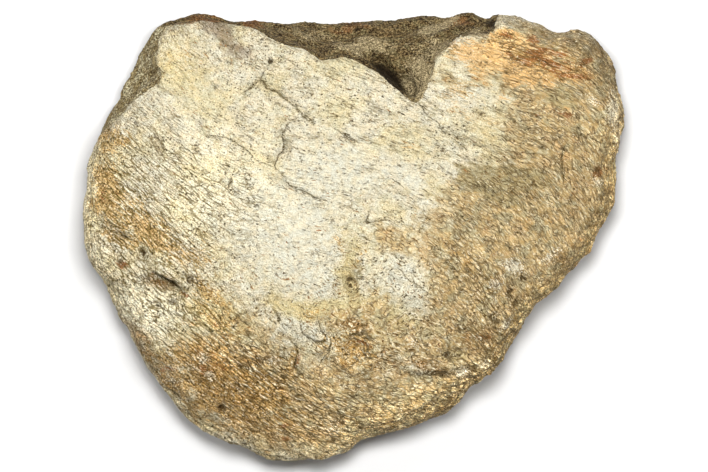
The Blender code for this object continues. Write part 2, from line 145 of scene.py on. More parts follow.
def polynomialTerms(x, y):
    # every power of the place up to the limit, with its slopes along X and Y
    u = x / 100
    v = y / 100
    values = []
    slopesX = []
    slopesY = []
    for i in range(boneFibres["power"] + 1):
        for j in range(boneFibres["power"] + 1 - i):
            if i + j > 0:
                values.append(u ** i * v ** j)
                slopesX.append(i * u ** max(i - 1, 0) * v ** j / 100)
                slopesY.append(j * u ** i * v ** max(j - 1, 0) / 100)
    return np.stack(values, 1), np.stack(slopesX, 1), np.stack(slopesY, 1)


def flowPlace(x, y):
    # the place along the fibres and across them, and how tight the second measure is
    step = boneFibres["gridStep"]
    reachX, reachY = boneFibres["gridReach"]
    gridX, gridY = np.meshgrid(np.arange(-reachX, reachX + 1, step),
                               np.arange(-reachY, reachY + 1, step))
    gridX = gridX.ravel()
    gridY = gridY.ravel()
    angle = fibreDirection(gridX, gridY)
    _, slopesX, slopesY = polynomialTerms(gridX, gridY)
    terms, termsX, termsY = polynomialTerms(x, y)
    cosine = np.cos(angle)[:, None]
    sine = np.sin(angle)[:, None]
    onFibre = slopesX * cosine + slopesY * sine
    offFibre = slopesY * cosine - slopesX * sine
    weight = boneFibres["spacingWeight"]
    wanted = np.repeat([0.0, weight], len(gridX))

    def fitted(level, rising):
        # the polynomial that is level one way and rises evenly the other way
        return np.linalg.lstsq(np.vstack([level, rising * weight]), wanted, rcond=None)[0]

    along = fitted(offFibre, onFibre)
    across = fitted(onFibre, offFibre)
    return terms @ along, terms @ across, np.hypot(termsX @ across, termsY @ across)


# Stains and other patches of the bone's colour, and patches of painted light and painted shade: place, half
# axes, turn in degrees and strength

boneStains = {
    "tan": [
        (74, 18, 28, 46, -8, 1), (53, -6, 22, 20, -40, 1), (42, -30, 26, 14, -38, 1),
        (10, -60, 42, 13, 8, 0.9), (-32, -54, 38, 18, -22, 0.8), (1, -14, 3, 10, -8, 0.4),
        (-6, -29, 13, 3.4, 5, 0.8), (66, 62, 26, 14, -12, 0.7), (2, -40, 11, 9, 0, 0.7),
        (9, -24, 5, 7, 40, 0.6), (24, -38, 10, 6, -10, 0.8), (12, -1, 9, 5, -20, 0.8),
        (38, 16, 6, 6, 0, 0.7), (6, -30, 12, 4, -10, 0.5), (33, 53, 11, 3.5, -42, 0.45),
        (28, 2, 6, 12, 20, 0.35), (42, 36, 6, 3, -20, 0.4), (-34, -30, 16, 7, -30, 0.4),
    ],
    "ochre": [
        (-85, 34, 7, 4, -20, 0.8), (-87, 16, 5, 10, 0, 1), (-74, 6, 12, 5, -45, 0.6),
        (-68, -1, 20, 5, -28, 0.8), (-83, -1, 6, 2.5, -20, 0.7), (-49, -24, 11, 4, -32, 0.45),
        (-50, -29.5, 5, 3, -30, 0.4), (-56, -40.5, 4, 4, 0, 0.9), (-49, -40.5, 3.5, 3, 0, 0.7),
        (-44, -33, 6, 3, -30, 0.35), (1, -41, 6.5, 5.6, 0, 0.75), (0, -35.5, 5, 1.8, 10, 0.6),
        (2, -8, 1.8, 4, -10, 0.5), (-5, -3, 1.4, 4, 0, 0.5), (-15, -27, 4, 1.6, 0, 0.6),
        (-8, -36, 4, 3, 45, 0.5), (58, 63, 8, 2.2, -25, 0.7), (67, 61, 8, 2.6, -25, 0.8),
        (78.5, 56, 5, 1.3, -5, 0.9), (53, 70, 3, 1.6, 0, 0.6), (78, 60, 7, 4, -20, 0.5),
        (38, 52, 9, 3, -30, 0.4), (-30, -60, 14, 6, -30, 0.5), (-21.5, -43, 5, 1.6, 65, 0.7),
        (-60, 62, 9, 6, 0, 0.25), (70, 0, 16, 7, -50, 0.3), (-40, -50, 22, 10, -20, 0.6),
        (-60, -50, 14, 7, -45, 0.5), (-46, -64, 14, 6, -25, 0.4), (-51, -19, 6, 1.4, -45, 0.6),
        (40, -10, 9, 4, -40, 0.4),
    ],
    "apricot": [
        (41, 65, 9, 5, -10, 0.7), (50.5, 61.5, 13, 4.5, -15, 0.9), (54.5, 70, 7, 2.6, -20, 0.9),
        (62, 61, 12, 6, -25, 0.8), (76, 58, 9, 6, -15, 0.5), (56, 54.5, 4, 1.8, 0, 0.6),
        (45, 55, 5, 1.4, -30, 0.5), (76, 44, 3, 1.5, 0, 0.6), (53, 49, 3, 2, 0, 0.5),
        (43.5, 41.5, 6, 2.5, -15, 0.4), (19, 31.5, 4.5, 2, -20, 0.4), (-56, -31, 8, 2, -30, 0.4),
        (2, -40, 7, 6, 0, 0.5), (35, 50, 8, 4, -15, 0.4), (79, 58, 6, 4, 0, 0.5),
    ],
    "rust": [
        (69, 61, 13, 4.5, -20, 0.42), (-36, -48, 14, 7, -20, 0.12), (-52, -42, 6, 5, 0, 0.3),
        (63.2, 69.2, 2.6, 1.5, -30, 0.9), (53.3, 70.6, 1.8, 1.1, 0, 0.7), (55.8, 62.8, 2.8, 0.8, -40, 0.8),
        (60.4, 61.4, 3.2, 0.9, -30, 0.8), (63.2, 63.9, 3.4, 0.8, -25, 0.8), (69.9, 60.4, 3.8, 1.1, -25, 1),
        (71.3, 64.2, 2.4, 0.9, 0, 0.6), (66, 65.3, 1.4, 0.8, 0, 0.8), (78.3, 56, 4.2, 0.7, -5, 1),
        (81.8, 61.8, 2.4, 1, 15, 0.8), (74.8, 42.8, 2.2, 0.9, 0, 0.7), (64.6, 42.8, 1.2, 0.9, 0, 0.7),
        (85.7, 22.7, 1.8, 1.5, 0, 0.9), (3.2, -37.6, 2.8, 1, -15, 0.6), (-67.5, -16.4, 3, 1.2, -40, 0.4),
        (-59, -20.6, 1.5, 0.9, -30, 0.9), (-81, -10, 1.9, 1.2, -20, 0.9), (-53, -47, 1.6, 1.6, 0, 0.7),
        (-65.3, -47, 3, 1, 0, 0.6), (-47.7, -31.2, 1.4, 1.2, 0, 0.5), (-25, -67, 1.6, 1.1, 0, 0.7),
        (-23.8, -71.4, 1.8, 0.9, 0, 0.7), (-19.9, -44, 3.4, 0.8, 65, 0.7), (-88, 14, 1.5, 3, 0, 0.5),
        (-58, 76.5, 4, 2, 0, 0.6), (45.5, -35.6, 3.2, 0.8, 0, 0.6), (26, -31, 2, 1.2, 0, 0.4),
    ],
    "olive": [
        (48, 20, 12, 4.4, -4, 0.9), (62, 20, 10, 4, -6, 0.7), (52, 13.5, 11, 3, -22, 0.6),
        (71, 51, 8, 3, -8, 0.7), (74.4, 46.3, 6, 2, -10, 0.7), (-3, -23, 8, 3, 0, 0.3),
        (1, -13, 3, 8, -10, 0.5), (36, -42, 10, 4, -30, 0.5), (40, 24, 7, 3, -20, 0.4),
        (-32, -53, 4, 3, 0, 0.6), (5.6, -42, 3, 2.4, 0, 0.8), (30, -46, 5, 2.5, 0, 0.4),
        (-63, 44, 10, 4, -40, 0.3), (-40, 60, 8, 5, -40, 0.35),
    ],
    "brown": [
        (-66, -51, 20, 2.6, -54, 0.6), (-42, -51, 20, 10, -20, 0.8), (-35.7, -50.5, 5, 7, 10, 0.8),
        (-76, -36, 3, 9, 33, 0.8), (-59, 77, 9, 3, 5, 1), (-83, -1, 5, 2, -20, 0.5),
        (-81, -10, 2, 1.6, 0, 0.9), (-68, -16.5, 7, 2.6, -20, 0.9), (26, -45.6, 9, 3, -8, 0.8),
        (13, -44, 6, 4, 0, 0.35), (0.5, -31, 5, 2, 25, 0.6), (80, 10, 10, 18, 10, 0.3),
        (74, 30, 9, 16, 5, 0.35), (2, -31.5, 7, 3, 15, 0.5), (-20, -70, 16, 4, -5, 0.4),
        (42, -36, 12, 6, -25, 0.6), (2, -42, 10, 5, 0, 0.35), (-44, -62, 16, 7, -30, 0.5),
        (24, -31, 5, 3, 0, 0.4),
    ],
    "pale": [
        (-20, -1, 18, 22, 0, 0.8), (-6, 23.5, 15, 9, 0, 0.8), (18, -16, 12, 6, -52, 0.8),
        (38, 34, 14, 7, -22, 0.6), (22, -33, 8, 3, -40, 0.4), (-74, -26, 10, 7, -52, 1),
        (-62, -25, 11, 4, -35, 0.7), (46, 50, 8, 3.8, -5, 0.6), (37.5, 61, 5, 3, 0, 0.5),
        (54, 30, 11, 2.4, -20, 0.3), (17, 21, 8, 3.5, -28, 0.9), (-50, 8, 14, 8, -45, 0.6),
        (-19, -32, 4, 7, 30, 0.8), (-11, -11, 5, 10, 0, 0.7), (-14.3, -32.2, 3.4, 2.4, -50, 0.9),
        (-40, 20, 12, 9, -30, 0.5),
    ],
    "white": [
        (91.5, 44, 2.4, 7, 4, 0.9), (93, 32, 1.4, 4, 0, 0.6), (84, 47.7, 2.4, 1.4, -40, 0.6),
        (86, 19, 2.2, 2, 0, 0.7), (56.1, -10.7, 4.2, 2.4, -25, 1), (49.5, -17, 2, 1.8, 0, 0.8),
        (69.5, -7, 4.8, 1.8, 35, 0.7), (53.3, -31.2, 3, 1.5, 40, 0.8), (38.5, -48, 2.8, 1.8, 0, 0.9),
        (46.3, -45.2, 2.4, 1.6, 0, 0.8), (19.9, -27.6, 2.6, 1.4, 0, 0.6), (22, -38.2, 2, 1.2, 0, 0.6),
        (-7, -67.8, 2.6, 2, 0, 0.6), (-53, -42.8, 1.8, 2, 0, 0.8), (-50.5, -49.1, 2, 2, 0, 0.9),
        (-28.3, -43.5, 2.6, 1.6, 0, 0.7), (-62.8, -51.6, 2.2, 1, 0, 0.6), (-65, -13, 5, 1.1, -47, 0.8),
        (25, -46, 3, 1.2, 20, 0.5), (-57, -46, 3, 1, 0, 0.4),
    ],
    # painted light: patches where the colour is lifted, mostly on margins and slopes that face away from
    # the lamps
    "paintedLightPatches": [
        (-2, -71, 14, 5, 8, 0.8), (17, -64, 18, 7, 20, 1), (40, -53, 13, 6.5, 35, 1),
        (-24, -74, 20, 7, -8, 0.3), (-10, -54, 8, 6, -30, 0.3), (-94, 14, 4.5, 20, -8, 0.45),
        (-90, -12, 5, 12, 20, 0.35), (-80, -22, 5, 12, 30, 0.3), (-72, -26, 9, 7, -50, 0.5),
        (-56, 12, 8, 12, -30, 0.25), (-52, -27, 9, 5, -30, 0.35), (-44, -43, 7, 6, 0, 0.3),
        (92, 30, 4, 24, 0, 0.7), (86, -2, 5, 12, -25, 0.6), (55, 71, 10, 4, -12, 0.3),
        (66, -22, 4, 16, -42, 0.65), (54, -36, 4, 10, -42, 0.4), (-48, 26, 20, 13, -30, 0.2),
        (-36, -45, 14, 5, -25, 0.3), (-64, 64, 4, 9, 0, 0.2),
    ],
    "porous": [
        (-38, 48, 24, 22, -20, 0.6), (-32, 50, 10, 8, -30, 1), (-43, 42, 8, 8, 0, 0.7),
        (36, 34, 14, 7, -20, 1), (26, 26, 8, 6, 0, 0.6), (-66, 32, 7, 6, -30, 1),
        (-58, 22, 8, 6, -40, 0.7), (-80, -24, 8, 16, 30, 1), (-70, -30, 8, 8, 0, 0.8),
        (18, -22, 12, 5, -50, 0.7), (-50, 62, 12, 6, -30, 0.7), (30, -42, 18, 6, -15, 1),
        (50, -28, 8, 8, -40, 0.8), (-86, 20, 6, 14, 0, 0.8), (60, 44, 14, 5, -15, 0.5),
        (-60, 50, 8, 6, 0, 0.5),
    ],
    "straw": [
        (27, 16, 6, 5, 0, 0.5), (14, -32, 10, 4, 0, 0.4), (-1.6, -12, 3.6, 10, 4, 0.9),
        (-4, -26, 14, 6, 0, 1), (-25, -23.5, 9, 3.5, -15, 0.8), (-44, -29, 12, 6, -35, 0.6),
        (24, -38, 20, 8, -15, 0.5), (-2, 2, 4, 8, 30, 0.4), (9, -26, 6, 6, 40, 0.8),
        (8, -30, 14, 4, -10, 0.7), (-16, -27, 5, 2, 0, 0.7), (-50, -28, 16, 8, -35, 0.5),
        (-40, -36, 16, 8, -25, 0.5), (-58, -58, 14, 6, -40, 0.5), (-20, -66, 22, 8, 0, 0.5),
        (20, -56, 26, 7, 5, 0.6), (-62, 62, 15, 13, -40, 0.6), (48, 55, 22, 10, -15, 0.5),
        (-2, -40, 12, 8, 0, 0.5), (50, 32, 18, 7, -15, 0.6), (38, -34, 16, 7, -30, 0.6),
    ],
    "stringy": [
        (-78, 5, 22, 34, 0, 0.9), (-60, -14, 22, 16, -35, 1), (-44, 8, 16, 12, -42, 0.6),
        (-34, -48, 34, 18, -25, 0.8), (-8, -14, 10, 14, 0, 0.4), (0, -44, 16, 10, 0, 0.6),
        (30, -44, 24, 8, -10, 0.7), (62, 60, 24, 9, -18, 0.2), (10, -62, 34, 10, 8, 0.7),
        (42, -26, 20, 12, -40, 0.5),
    ],
    "smooth": [
        (-20, 0, 16, 18, 0, 0.9), (-8, 23, 15, 8, 0, 0.6), (-58, 60, 14, 14, 0, 0.5),
        (-18, -12, 8, 12, 0, 0.8), (17, 21, 8, 3.5, -28, 0.9), (-55, 42, 16, 12, -30, 0.3),
        (8, 24, 24, 12, -20, 0.5), (69, 52, 6, 3, 0, 0.8), (74, 46, 6, 2.4, -10, 0.7),
        (47, 20, 10, 4, -4, 0.5), (48, 50, 7, 4, 0, 0.6), (-30, 38, 16, 16, -20, 0.3),
        (50, 58, 20, 9, -15, 0.35),
    ],
    # violet-grey patches of the bone's colour; the strongest, by the upper left rim, is painted shade as
    # well
    "violet": [
        (-46.3, 71, 11, 3, -45, 0.9), (-42, 76, 10, 2.5, -5, 0.5), (-38, 64, 5, 2.5, -40, 0.5),
        (-69, 33, 3, 6, 20, 0.5), (-45, 62, 8, 3, -40, 0.3), (-86, 38, 5, 3, -30, 0.5),
        (76.2, 68.5, 2.6, 1.6, 0, 0.8), (44.5, 71.6, 5, 1.4, 0, 0.8), (24, 4, 4, 2, -40, 0.4),
        (60, 2, 5, 3, -40, 0.4),
    ],
    "slate": [
        (1.4, -34.2, 3.4, 0.8, 8, 1), (5.6, -35.6, 2.4, 0.8, -35, 1), (5.6, -42, 1.4, 2.2, 10, 0.6),
        (-1.8, 34.2, 3.4, 1.2, -12, 0.7), (46.6, 17.4, 6, 2.2, -25, 0.5), (60.3, 14.4, 5, 1.6, -20, 0.5),
        (52.5, 34.4, 2.2, 1.6, 0, 0.6), (-50.5, 73.5, 5, 0.8, -20, 0.5), (-28, 68.4, 6, 0.7, -16, 0.5),
        (17, -8.5, 2.6, 0.8, -50, 0.7), (22, -14, 4, 0.6, -45, 0.6), (-73.3, -16, 2.6, 0.6, 0, 0.7),
        (-56.1, -15.3, 3.2, 1.1, -30, 0.8), (-69.9, -23.2, 2.6, 0.5, -12, 1),
        (-63.5, -23.4, 2.4, 0.8, -15, 0.9), (-38.2, -45.6, 3.8, 1.3, -25, 0.8),
        (27.6, -23.6, 1.7, 0.5, -60, 1), (36.8, -32.9, 0.8, 1.2, 0, 0.9), (33.3, -42.4, 1.8, 0.8, -60, 1),
        (49.8, -29.4, 1.8, 0.8, -20, 1), (54.4, -19.9, 0.9, 1.3, 0, 1), (56.8, -23.4, 0.8, 1.2, 0, 0.9),
        (36.4, -40, 1.6, 0.8, 0, 0.9), (30.4, -48.4, 5, 0.9, 0, 0.8), (22.7, -48, 3, 0.7, 0, 0.7),
        (45.6, -36, 3, 0.6, 0, 0.7), (-24, -70, 2, 0.8, 0, 0.7), (25.5, -38.5, 1.6, 0.8, 0, 0.7),
        (85.6, 23.6, 1.6, 0.8, 0, 0.7), (-58, 2.5, 2, 0.6, -60, 0.6),
    ],
    # on the broken faces
    "breakFilm": [
        (24, 55, 6, 8, -20, 0.8), (3, 66.7, 9, 2.2, 0, 0.9), (29, 74.5, 6, 1.6, 20, 1),
        (45, 70.6, 5, 1.4, 0, 0.9), (30, 66, 5, 3, -40, 0.5), (-14, 71, 8, 1.6, -10, 0.4),
    ],
    "breakStain": [
        (-36.5, 75.4, 5, 1.6, 0, 1), (-1, 74, 9, 1.8, 0, 0.6), (38, 76, 8, 2, 0, 0.6),
        (-52, 77, 8, 2, 0, 0.7), (12, 72, 6, 2, 0, 0.4),
    ],
    # painted shade: near-black in the deep pockets of the broken face and the notch
    "hollow": [
        (12.8, 55.6, 5.5, 2.6, -45, 1), (17.5, 50.5, 3.5, 1.8, -45, 0.4), (48.5, 74.8, 2, 1.6, 0, 0.8),
        (9, 59.5, 3.5, 1.6, -35, 0.6),
    ],
}


def patchShare(x, y, patches):
    # soft-edged patches: 0 outside, up to 1 inside
    clear = np.ones(x.shape)
    for centreX, centreY, halfLong, halfWide, degrees, strength in patches:
        turn = math.radians(degrees)
        u = ((x - centreX) * math.cos(turn) + (y - centreY) * math.sin(turn)) / halfLong
        v = ((y - centreY) * math.cos(turn) - (x - centreX) * math.sin(turn)) / halfWide
        clear *= (1 - strength * np.exp(-(u * u + v * v) ** 1.3 * 0.7))
    return 1 - clear


# Fossil bone slab: the dense surface, with every crack, ledge, pit and fibre that is really raised

boneSlab = {
    "node": "frill_section",
    "subdivisions": 2,
    "voxel": 0.5,
    "smoothing": 2,
    "triangles": 190000,
    # the drawn places below times this scale, after this shift, are places on the solid
    "drawnScale": (0.993, 0.9915),
    "drawnShift": (0.08, 0.2),
    "middle": (0.0, 8.0),
    "edgeRadius": 85.0,
    "domeTop": (-14.0, 24.0),
    "domeHeight": 41.6,
    "domeFall": (10.0, 11.5),
    "domeSpan": 95.0,
    "foldStart": (-92.0, -12.0),
    "foldEnd": (60.0, -50.0),
    "foldSlope": 0.16,
    "foldBlend": 10.0,
    "waver": [(0.9, 2.7, 3.1), (0.5, 1.9, 4.1)],     # shift, then the lengths of its two waves
    "sharpStains": ("slate", "rust", "white", "olive", "hollow"),
    "backRim": [
        (-70, 74), (-60, 74.5), (-52.5, 75.5), (-46.5, 75), (-41, 74), (-36, 73), (-32.5, 71.5),
        (-29, 69), (-22, 66.5), (-17.5, 65.5), (-14.5, 63.5), (-11, 61.5), (-7, 62), (-3, 62.5),
        (1.5, 61), (5, 59), (8.5, 57), (13, 53), (16.5, 50), (21.5, 46.5), (24, 49.5), (27, 54),
        (28, 58.5), (29, 62.5), (31, 64.5), (34.5, 67.5), (37.5, 70), (43.5, 70.5), (48, 71.5),
        (50.5, 75.5), (53, 84),
    ],
    "leftRim": [
        (-66, 76), (-66.5, 73), (-68, 70), (-68.5, 66), (-69, 61.5), (-67, 56.5), (-69, 53),
        (-72.5, 51), (-77, 47.5), (-82, 42.5), (-90.5, 34.5), (-97, 28),
    ],
    # cracks: line, half width and depth of the sharp cut, and the half width and depth of what
    # is filled where the solid has a wide channel
    "cracks": [
        ([(-30, 62), (-32, 55.5), (-30, 53), (-25.5, 48.5), (-20.5, 44)], 0.7, 1, 2, 1.3),
        ([(-32, 55), (-34.5, 52.5), (-38, 50)], 0.5, 0.6, 1.5, 1.1),
        ([(-20.5, 44), (-16, 42), (-13.5, 39.5)], 0.5, 0.6, 1.4, 1),
        ([(-20, 42), (-22.5, 38), (-26, 32), (-26, 27), (-27, 23), (-24, 19.5)], 0.75, 1, 1.8, 2),
        ([(-50, 35), (-45.5, 34), (-38, 29.5), (-34.5, 27), (-28, 23.5)], 0.45, 0.5, 1.5, 1.3),
        ([(21.5, 47), (24, 43.5), (31, 39), (32, 36), (38.5, 29.5)], 0.5, 0.6, 1.8, 1.4),
        ([(14, 19), (18, 15.5), (22.5, 13)], 0.5, 0.5, 1.4, 1.2),
        ([(-69.4, -12.2), (-66.4, -15.6), (-63.4, -18.2), (-60.4, -21)], 1.1, 1.3),
        ([(-85.5, 0), (-77.5, -2.5)], 0.7, 0.7, 1.6, 1),
        ([(-40.5, -27.5), (-35.5, -31)], 0.6, 0.6, 1.5, 0.9),
        ([(-19, -28), (-14.5, -27.5), (-10.5, -31.5), (-9, -37), (-12, -40.5), (-16, -40)], 0.4, 0, 1.4, 1),
        ([(-17.8, -29), (-17.2, -33), (-14.6, -35.8), (-11.8, -36.6), (-10, -33.8), (-11.4, -30.6)],
         0.6, 0.7),
        ([(-9.4, -37), (-9.2, -41), (-10.6, -45)], 0.6, 0.6), ([(-26.6, -28), (-24.2, -33)], 0.5, 0.5),
        ([(-23, -36.5), (-20, -42.5), (-18.5, -47)], 0.55, 0.6, 1.4, 1.1),
        ([(4.5, 9), (4, 7), (6, 5.5), (13.5, 4.5), (16.5, 2.5)], 0.45, 0.5, 1.3, 0.9),
        ([(73, 30), (74, 24), (73.5, 17)], 0.7, 0.6, 2.2, 1),
        ([(-24, 18), (-18, 16), (-11, 12.8)], 0.6, 0.6), ([(-68.5, 35.4), (-67.8, 29.4)], 0.7, 0.7),
        ([(-43, 20.6), (-44.5, 16.4)], 0.7, 0.7), ([(2.6, 1.6), (6.3, -0.7)], 0.6, 0.7),
        ([(13.6, -6.4), (16.8, -9.4)], 0.6, 0.4), ([(17, -12.6), (20.5, -15.4), (26, -18.6)], 0.45, 0.3),
        ([(-70.5, -23), (-67.5, -24)], 0.7, 0.7), ([(-1.6, -35), (0.5, -34), (5.1, -35)], 0.5, 0.6),
        ([(-64.5, -55), (-61.5, -58.5)], 0.7, 0.6), ([(-5.8, 36.1), (0.5, 33)], 0.7, 0.4),
    ],
    # how far the foot of the broken back face stands out: place and half width along X, shift
    "backFoot": [(-24, 9, 2.1), (9, 14, 1.3)],
    # the finer forms: the lengths of each pattern along the fibres or the edge, across and up
    "lengths": {
        "strands": (7, 1.4, 1.4), "cords": (14, 3.2, 3.2), "flakes": (20, 7.5, 7.5),
        "pores": (3.4, 1.5, 1.5), "crumbs": (1.9, 1.9, 1.6), "strata": (8, 1.7, 1.7),
        "layers": (16, 16, 1.7), "thinLayers": (6, 6, 0.9),
    },
    # and how high they stand
    "heights": {
        "strands": (0.16, 0.32), "cords": (0.3, 0.55),      # on plain bone and on stringy bone
        "edgeCrumbs": (-0.4, 0.85),                         # on the left and on the right
        "under": (0.1, 0.18, -0.22),                # strands, cords and pores of the underside
        "flakes": 0.3, "pores": -0.5, "waves": 0.18, "edgeWaves": 0.3, "strata": 0.4,
        "terraces": 0.5, "grit": 0.32, "layers": 0.55, "thinLayers": 0.35, "breakCrumbs": 0.6,
    },
    # ledges: line, rise on its left, fall on its right and how far both run
    "ledges": [
        ([(-32.5, 23), (-27, 18.5), (-20.5, 16), (-12, 13.5), (-8, 11)], 0.35, 0.35, 3),
        ([(-71, -10), (-66, -15.5), (-63, -18), (-59, -22)], 0.7, 0.6, 3),
        ([(22, -48.4), (32, -48), (43, -45)], 0.3, 0.3, 3),
        ([(31, 39), (44, 33), (57, 27)], 0.3, 0.3, 4),
    ],
    # pits: place, radius and depth
    "pits": [
        (-30, 61.5, 1.3, 1.2), (-44, 17, 1, 0.6), (-46, -61.5, 1.1, 1.8), (-75, -5, 1, 1),
        (-81, -10, 1.2, 0.9), (-57, -15.5, 1.3, 1.2), (-1.5, -15.8, 0.9, 1.4), (-1.5, -18.4, 0.9, 1.3),
        (60, -14, 1, 1.2), (54, -19.5, 1, 1.2), (57, -23.5, 1, 1), (33, -42, 1, 1.4), (49, 74, 1.6, 1.4),
        (-26, 29, 1.2, 0.9), (30, 31, 0.9, 0.8), (44, 43, 0.9, 0.8), (52, 12, 1.2, 0.8), (49, -29, 1, 1.1),
        (-40, -27.6, 0.8, 0.8), (-35.4, -24.8, 0.7, 0.7), (-34.3, -45.1, 1.6, 0.8),
        (-65.5, -52.5, 0.9, 0.8), (-64, -17.5, 1.2, 1.4),
    ],
}


def drawnPlace(points):
    places = points[:, :2] / boneSlab["drawnScale"] - boneSlab["drawnShift"]
    return places[:, 0], places[:, 1]


def domeHeight(x, y):
    topX, topY = boneSlab["domeTop"]
    span = boneSlab["domeSpan"]
    height = (boneSlab["domeHeight"] - boneSlab["domeFall"][0] * ((x - topX) / span) ** 2
              - boneSlab["domeFall"][1] * ((y - topY) / span) ** 2)
    start = np.array(boneSlab["foldStart"])
    run = np.array(boneSlab["foldEnd"]) - start
    run = run / np.linalg.norm(run)
    below = run[1] * (x - start[0]) - run[0] * (y - start[1])
    blend = boneSlab["foldBlend"]
    return height - boneSlab["foldSlope"] * blend * np.log1p(np.exp(below / blend))


def wavered(x, y):
    # drawn lines run unevenly, as in bone
    shiftX = np.zeros(x.shape)
    shiftY = np.zeros(x.shape)
    for shift, length, crossLength in boneSlab["waver"]:
        shiftX += shift * np.sin(y / length + np.sin(x / crossLength))
        shiftY += shift * np.sin(x / crossLength + np.sin(y / length))
    return x + shiftX, y + shiftY


def edgePlace(points):
    # the same place measured along the slab's outline, in from it and up
    dx = points[:, 0] - boneSlab["middle"][0]
    dy = points[:, 1] - boneSlab["middle"][1]
    radius = np.hypot(dx, dy)
    turn = np.arctan2(dx, -dy)      # the seam is at the back, on the broken face
    sectors = 240
    sector = ((turn + math.pi) / (2 * math.pi) * sectors).astype(int) % sectors
    reach = np.zeros(sectors)
    np.maximum.at(reach, sector, radius)
    centres = (np.arange(sectors) + 0.5) / sectors * 2 * math.pi - math.pi
    inset = np.interp(turn, centres, reach, period=2 * math.pi) - radius
    return np.stack([turn * boneSlab["edgeRadius"], inset, points[:, 2]], 1)


def brokenShare(points, x, y, normals):
    # 1 on the broken back face and left facet, 0 on the outer face
    _, backOffset, _ = lineDistance(x, y, boneSlab["backRim"])
    _, leftOffset, _ = lineDistance(x, y, boneSlab["leftRim"])
    ragged = softStep(20, 24, x)        # right of the notch the rim is ragged
    uneven = noiseAt(points, 1.5, 31)
    backOffset = backOffset + 0.35 * uneven + ragged * (0.6 * uneven + 1.1 * noiseAt(points, 3.2, 32))
    leftOffset = leftOffset + 0.7 * uneven
    facing = softStep(-0.5, 0, normals[:, 2])
    back = softStep(-0.3, 0.5, backOffset) * facing
    left = softStep(-0.3, 0.5, -leftOffset) * facing * (x < -60)
    return back, left * (1 - back)


def crackedRelief(points, x, y):
    # rise of the cracks, ledges and pits, how deep in a recess each place is, which sets the painted shade
    # there, and the place across the nearest crack in half widths, with the share that the crack has there
    solidX, solidY = x, y
    x, y = wavered(x, y)
    x = x + 0.45 * noiseAt(points, 1.8, 21)
    y = y + 0.45 * noiseAt(points, 1.8, 22)
    rise = np.zeros(x.shape)
    recessShade = np.zeros(x.shape)
    nearest = np.full(x.shape, np.inf)
    crackSide = np.full(x.shape, 9.0)
    crackShare = np.zeros(x.shape)
    for line, halfWidth, depth, *channel in boneSlab["cracks"]:
        if channel:
            gap, _, along = lineDistance(solidX, solidY, line)
            taper = 0.35 + 0.65 * np.sin(math.pi * along)
            rise += channel[1] * taper * np.exp(-(gap / (channel[0] * taper)) ** 2)
        if depth == 0:
            continue
        gap, offset, along = lineDistance(x, y, line)
        taper = 0.3 + 0.7 * np.sin(math.pi * along)
        rise -= 1.2 * depth * taper * np.exp(-(gap / (halfWidth * taper)) ** 2)
        recessShade = np.maximum(recessShade, 0.4 * taper * np.exp(-(gap / halfWidth) ** 2))
        beyond = softStep(0.2, 1, gap - np.abs(offset))
        nearer = gap < nearest
        crackSide = np.where(nearer, offset / (halfWidth * taper), crackSide)
        crackShare = np.where(nearer, (1 - beyond) * (1 - softStep(1.5, 2.5, gap)), crackShare)
        nearest = np.minimum(nearest, gap)
    for line, up, down, run in boneSlab["ledges"]:
        gap, offset, along = lineDistance(x, y, line)
        step = np.tanh(offset / 0.5) * np.exp(-gap / run) * np.sin(math.pi * along) ** 0.5
        rise += np.where(step > 0, up * step, down * step)
        recessShade = np.maximum(recessShade, min(0.6, up) * np.exp(-((offset + 0.7) / 0.8) ** 2)
                            * np.exp(-gap / run) * np.sin(math.pi * along))
    for pitX, pitY, radius, depth in boneSlab["pits"]:
        share = np.exp(-((x - pitX) ** 2 + (y - pitY) ** 2) / radius ** 2)
        rise -= depth * share
        recessShade = np.maximum(recessShade, share * min(1, depth - 0.2))
    return rise, recessShade, crackSide, crackShare


def withBackFoot(points):
    # only the lower part of the back moves, so that its upper rim stays as drawn
    x, y = drawnPlace(points)
    share = softStep(60, 72, y) * softStep(3, 14, domeHeight(x, y) - points[:, 2])
    moved = points.copy()
    for middle, halfWidth, shift in boneSlab["backFoot"]:
        moved[:, 1] += shift * share * np.exp(-((x - middle) / halfWidth) ** 2)
    return moved


def steppedShare(values):
    # flat levels with sharp steps between, as where a layer of bone has flaked off
    base = np.floor(values)
    return base + softStep(0.42, 0.58, values - base)


def surfacePlaces(points, normals):
    # the drawn place, the place along the fibres and how tight they are, the place along the edge,
    # the broken shares and how far right the place is
    x, y = drawnPlace(points)
    along, across, spacing = flowPlace(x, y)
    flow = np.stack([along, across, points[:, 2] - domeHeight(x, y)], 1)
    broken = brokenShare(points, x, y, normals)
    return x, y, flow, spacing, edgePlace(points), broken, softStep(30, 60, x - 0.4 * y)


